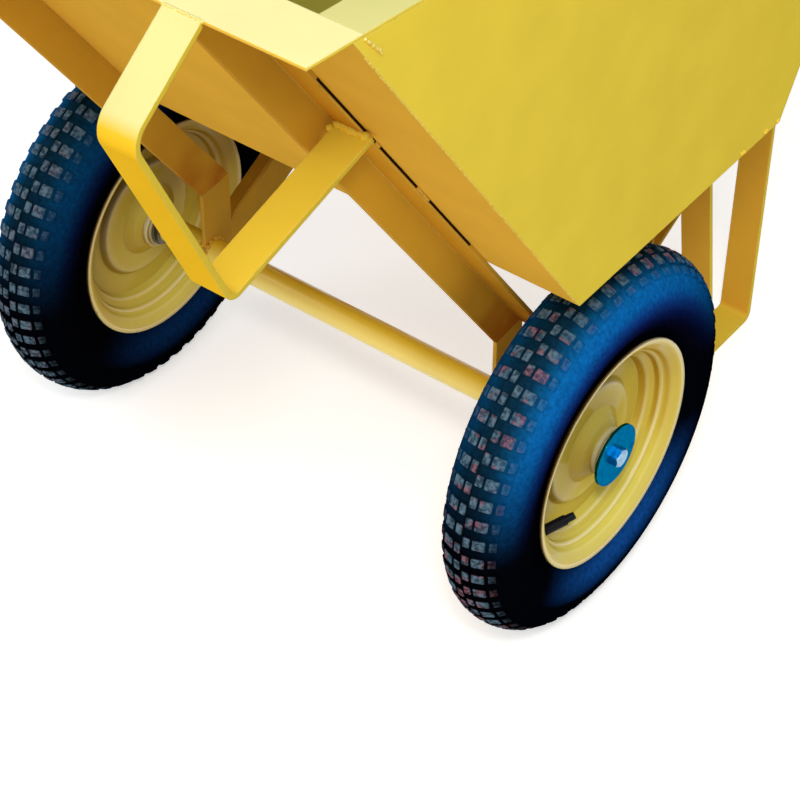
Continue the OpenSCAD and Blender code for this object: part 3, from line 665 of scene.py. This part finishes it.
def add_blocks(bm, outward):
    """The half that looks inward is half a pitch behind the half that looks outward."""
    blocks = bmesh.new()
    for half, lag in ((outward, 0), (-outward, pi/tread_pitches)):
        for angle, width, length, height in tread_rows:
            tall = height*MM + block_root
            place = (Matrix.Rotation(lag, 4, "X") @ Matrix.Translation(section_middle)
                     @ Matrix.Rotation(half*radians(angle), 4, "Y")
                     @ Matrix.Translation((0, 0, section_r - block_root + tall/2))
                     @ Matrix.Diagonal((width*MM, length*MM, tall, 1)))
            bmesh.ops.create_cube(blocks, size=1, matrix=place)
    bmesh.ops.bevel(blocks, geom=blocks.edges[:], offset=block_edge, affect="EDGES", segments=1,
                    profile=0.5, material=-1)
    bmesh.ops.spin(blocks, geom=blocks.verts[:] + blocks.edges[:] + blocks.faces[:], cent=(0, 0, 0),
                   axis=(1, 0, 0), angle=2*pi*(tread_pitches - 1)/tread_pitches,
                   steps=tread_pitches - 1, use_duplicate=True)
    mesh = bpy.data.meshes.new("blocks")
    blocks.to_mesh(mesh)
    blocks.free()
    bm.from_mesh(mesh)
    bpy.data.meshes.remove(mesh)


print("a tyre has", 2*len(tread_rows)*tread_pitches, "blocks in", 2*len(tread_rows), "rows")

# %% Both tyres
for side, outward in (("left", -1), ("right", 1)):
    bm = bmesh.new()
    casing_section(bm)
    spin_wheel(bm, 144)
    add_blocks(bm, outward)
    bmesh.ops.translate(bm, verts=bm.verts, vec=middle(side + "_hub"))
    tyre = make_piece(side + "_moulded_tyre", bm, tyre_black, side + "_wheel", 30)
    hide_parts(side + "_tyre")

# %% [markdown]
# ## Rims
# Each wheel has two rim halves, pressed from sheet and welded back to back. The CAD solids have sharp
# folds, and a press leaves round ones. The fold line is drawn as a chain of vertices, a vertex bevel
# rounds it, a spin turns it round the axle and Solidify gives the sheet its thickness. The round folds
# have several edges each, which Pointiness in the paint needs too.

# %% Rim halves
rim_sheet = 2.5*MM
# Fold line of one half: distance out from the wheel's middle plane, and radius, in millimetres
rim_folds = [(33.75, 115.4), (32.75, 110.5), (27.5, 103.0), (22.0, 100.4), (20.5, 97.3),
             (14.0, 96.3), (10.0, 89.0), (1.25, 86.5), (1.25, 64.0), (7.5, 59.0), (8.75, 38.5),
             (17.5, 28.5), (22.5, 22.35), (28.5, 22.35)]
fold_round = 1.6*MM


def rim_half(out):
    bm = bmesh.new()
    chain = wire(bm, [(out*z*MM, 0, r*MM) for z, r in rim_folds])
    bmesh.ops.bevel(bm, geom=chain[1:-1], offset=fold_round, affect="VERTICES", segments=5, profile=0.5,
                    material=-1, clamp_overlap=True)
    spin_wheel(bm, 128)
    return bm


for side, out in (("left", -1), ("right", 1)):
    for half, turned in (("outer", out), ("inner", -out)):
        bm = rim_half(turned)
        bmesh.ops.translate(bm, verts=bm.verts, vec=middle(side + "_hub"))
        rim = make_piece(f"{side}_pressed_rim_{half}", bm, wheel_enamel, side + "_wheel",
                         60)
        sheet = rim.modifiers.new("sheet", "SOLIDIFY")
        sheet.thickness, sheet.offset = rim_sheet, 0
        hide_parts(f"{side}_rim_{half}")

# %% [markdown]
# ## Welds
# The barrow is tacked and welded by hand before it is painted, so its welds are lumpy and yellow. A
# weld is a run of balls that overlap, each a little different in size. The random numbers start from
# a fixed seed, so that every run of the script gives the same welds. Most of them lie along the nose
# panel, so their places are given along its slope from the floor and out from its underside.

# %% Weld beads
welder = Random(7)
nose_slope = radians(55.5)
nose_up = Vector((0, -cos(nose_slope), sin(nose_slope)))
nose_out = Vector((0, -sin(nose_slope), -cos(nose_slope)))
nose_foot = Vector((0, *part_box("floor_panel")[0].yz))


def on_nose(x, along, out):
    """Place in metres, from millimetres to the right, up the nose panel and out from it."""
    return nose_foot + (Vector((x, 0, 0)) + along*nose_up + out*nose_out)*MM


def from_axle(x, y, z):
    """Place in metres, from millimetres to the right, behind the axle and above the ground."""
    return Vector((x*MM, axle.y + y*MM, z*MM))


def weld(bm, start, end, radius_mm, spacing=0.9, rounds=2):
    run = end - start
    count = max(1, round(run.length/(radius_mm*MM*spacing)))
    for i in range(count + 1):
        r = radius_mm*MM*welder.uniform(0.75, 1.15)
        shift = Vector([welder.uniform(-0.2, 0.2) for _ in range(3)])*r
        turn = Matrix.Rotation(welder.uniform(0, pi), 4, Vector((1, 1, 1)).normalized())
        bmesh.ops.create_icosphere(bm, subdivisions=rounds, radius=r,
                                   matrix=Matrix.Translation(start + run*i/count + shift) @ turn)


print("the nose panel starts at", tuple(round(v, 3) for v in nose_foot))

# %% Welds of the struts and feet
strut_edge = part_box("right_front_strut")[1].x/MM
# Stretches of each strut's outer edge that were left open, from the floor up, in millimetres
open_seams = [(43, 145), (174, 257), (267, 273), (287, 386)]
foot_in_x, foot_out_x = (v.x/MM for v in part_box("right_tipping_foot"))
foot_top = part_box("right_tipping_foot")[1].z
lip_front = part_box("front_lip")[0].y
# Where a foot meets its strut: up the nose panel, and tacks up the panel and out from it
foot_joint = 288
foot_tacks = [(292, 33), (287, 26), (281, 10), (292, 11)]
strut_welds, seam_welds = bmesh.new(), bmesh.new()
for s in (-1, 1):
    weld(strut_welds, on_nose(s*(foot_in_x + 2), foot_joint, 5),
         on_nose(s*(strut_edge + 1), foot_joint, 5), 4.2, 0.7)
    for along, out in foot_tacks:
        weld(strut_welds, on_nose(s*(foot_in_x - 2), along, out), on_nose(s*foot_in_x, along, out), 3)
    for low, high in zip(open_seams, open_seams[1:]):
        weld(seam_welds, on_nose(s*strut_edge, low[1] + 2, 1.2),
             on_nose(s*strut_edge, high[0] - 2, 1.2), 1.5)
    foot_ends = [Vector((s*x*MM, lip_front, foot_top - 1.5*MM)) for x in (foot_in_x, foot_out_x)]
    weld(strut_welds, *foot_ends, 1.4)
make_piece("strut_and_foot_welds", strut_welds, lit_foot_enamel, "chassis", 80)
make_piece("strut_seam_welds", seam_welds, shaded_chassis_enamel, "chassis", 80)

# %% Welds of the tray corners
tray_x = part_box("right_side_panel")[1].x/MM
# Behind the axle and above the ground: the weld at the lip's end, and tacks along the floor
lip_weld = [(-359, 848), (-342, 828)]
floor_tacks, floor_z = (178, 217, 238), 424
tray_welds = bmesh.new()
for s in (-1, 1):
    weld(tray_welds, on_nose(s*(tray_x - 1), 6, 0), on_nose(s*(tray_x - 1), 500, 0), 1.2, 1.6, 1)
    weld(tray_welds, *(from_axle(s*tray_x, y, z) for y, z in lip_weld), 1.6, 1.2)
    for y in floor_tacks:
        weld(tray_welds, from_axle(s*tray_x, y, floor_z), from_axle(s*tray_x, y + 3, floor_z), 2.4)
make_piece("tray_corner_welds", tray_welds, tray_enamel, "chassis", 80)

# %% Welds of the axle and legs
axle_tube_r = (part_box("axle_tube")[1].z - axle.z)/MM
hanger_in_x, hanger_out_x = (v.x/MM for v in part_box("right_axle_hanger"))
leg_in_x, leg_out_x = (v.x/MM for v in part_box("right_rear_leg"))
# Where a leg meets its rail: behind the axle and above the ground
leg_joints = [(308, 307), (438, 372)]
tube_tacks = 14
low_welds = bmesh.new()
for s in (-1, 1):
    for x in (hanger_in_x - 1, hanger_out_x + 1):
        for i in range(tube_tacks):
            turn = 2*pi*i/tube_tacks
            around = Vector((0, cos(turn), sin(turn)))*(axle_tube_r + 1)*MM
            weld(low_welds, axle + around + Vector((s*x*MM, 0, 0)),
                 axle + around + Vector((s*(x + 1)*MM, 0, 0)), 2.6)
    for y, z in leg_joints:
        weld(low_welds, from_axle(s*leg_in_x, y, z), from_axle(s*leg_out_x, y, z), 3, 0.8)
make_piece("axle_and_leg_welds", low_welds, shaded_chassis_enamel, "chassis", 80)

# %% [markdown]
# ## Open seams
# Between its welds a strut stands off the nose panel by the thickness of a few coats of paint, and the
# seam there is a dark line of shade. A real slit would mean cutting the CAD solids, so a thin dark strip
# with bevelled edges lies on the strut's outer edge and paints that line as a shadow.

# %% Open seams
# Size of a strip's section and of its bevels, in millimetres
seam_depth, seam_tall, seam_bevel = 0.5, 2.2, 0.15
slope = Matrix((Vector((1, 0, 0)), nose_up, nose_out)).transposed().to_4x4()
seams = bmesh.new()
for s in (-1, 1):
    for low, high in open_seams:
        strip = (Matrix.Translation(on_nose(s*strut_edge, (low + high)/2, seam_tall/2 + 0.1)) @ slope
                 @ Matrix.Diagonal((seam_depth*MM, (high - low)*MM, seam_tall*MM, 1)))
        bmesh.ops.create_cube(seams, size=1, matrix=strip)
bmesh.ops.bevel(seams, geom=seams.edges[:], offset=seam_bevel*MM, affect="EDGES", segments=1,
                profile=0.5, material=-1)
make_piece("open_strut_seam_shadows", seams, slit_shadow, "chassis")

# %% [markdown]
# ## The floor
# The floor is plain and pale, so that the barrow stands on a white ground as in the photo, and keeps
# its shadow. More light on the floor would burn out the barrow too, so Light Path adds a little glow to
# the floor only where the camera, a gloss or a glass sees it. That whitens the floor without lighting
# the barrow.

# %% Floor
floor_half = 14
floor_glow = 0.5


def shown_as_backdrop(owner):
    """1 where the camera, a gloss or a glass sees the backdrop, and 0 where it only lights things."""
    seen = add_node(owner, "ShaderNodeLightPath", {})
    mirrored = add_node(owner, "ShaderNodeMath",
                        {0: seen.outputs["Is Glossy Ray"], 1: seen.outputs["Is Transmission Ray"]},
                        operation="MAXIMUM")
    shown = add_node(owner, "ShaderNodeMath",
                     {0: seen.outputs["Is Camera Ray"], 1: mirrored.outputs["Value"]},
                     operation="MAXIMUM")
    return shown.outputs["Value"]


floor_bm = bmesh.new()
bmesh.ops.create_grid(floor_bm, x_segments=1, y_segments=1, size=floor_half)
floor_mesh = bpy.data.meshes.new("studio_floor")
floor_bm.to_mesh(floor_mesh)
floor_bm.free()
floor_white, floor_shader = new_material("matt white floor")
floor_shader.inputs["Base Color"].default_value = linear("#f6f6f4")
floor_shader.inputs["Roughness"].default_value = 0.9
floor_shader.inputs["Specular IOR Level"].default_value = 0.1
floor_shader.inputs["Emission Color"].default_value = linear("#ffffff")
whiter = add_node(floor_white, "ShaderNodeMath", {0: shown_as_backdrop(floor_white), 1: floor_glow},
                  operation="MULTIPLY")
join(floor_white, whiter.outputs["Value"], floor_shader.inputs["Emission Strength"])
floor_mesh.materials.append(floor_white)
studio_floor = bpy.data.objects.new("studio_floor", floor_mesh)
bpy.context.scene.collection.objects.link(studio_floor)
print("the floor is", 2*floor_half, "m wide")

# %% [markdown]
# ## The light
# Three area lamps light the barrow. The key is large and soft, stands above the front and lights the
# tops and the right side. A small warm lamp at the camera lights what the camera sees and gives the
# gloss its glints. A large fill on the left keeps that side from going dull. The world fills the
# rest: it looks white as a backdrop, and gives less than half of that as light.

# %% Lamps and world
stand_middle = Vector((0, 0, 0.4))
sky_as_light, sky_as_backdrop = 0.42, 1.0


def lamp(name, towards, distance, size, watts, colour):
    data = bpy.data.lights.new(name, "AREA")
    data.size, data.energy, data.color = size, watts, linear(colour)[:3]
    towards = Vector(towards).normalized()
    lit = bpy.data.objects.new(name, data)
    lit.location = stand_middle + towards*distance
    lit.rotation_euler = towards.to_track_quat("Z", "Y").to_euler()
    bpy.context.scene.collection.objects.link(lit)


lamp("key", (0.3, -0.5, 0.81), 4.0, 2.2, 72, "#ffffff")
lamp("near_camera", view_back, 2.6, 0.3, 18, "#fffaf0")
lamp("left_fill", (-0.75, -0.45, 0.45), 4.0, 2.0, 28, "#ffffff")
world = bpy.data.worlds.new("soft_sky")
bpy.context.scene.world = world
world.use_nodes = True
sky = world.node_tree.nodes["Background"]
sky.inputs["Color"].default_value = linear("#f4f7fb")
sky_strength = add_node(world, "ShaderNodeMapRange",
                        {"Value": shown_as_backdrop(world), "To Min": sky_as_light,
                         "To Max": sky_as_backdrop})
join(world, sky_strength.outputs["Result"], sky.inputs["Strength"])
bpy.context.scene.view_settings.view_transform = "Standard"
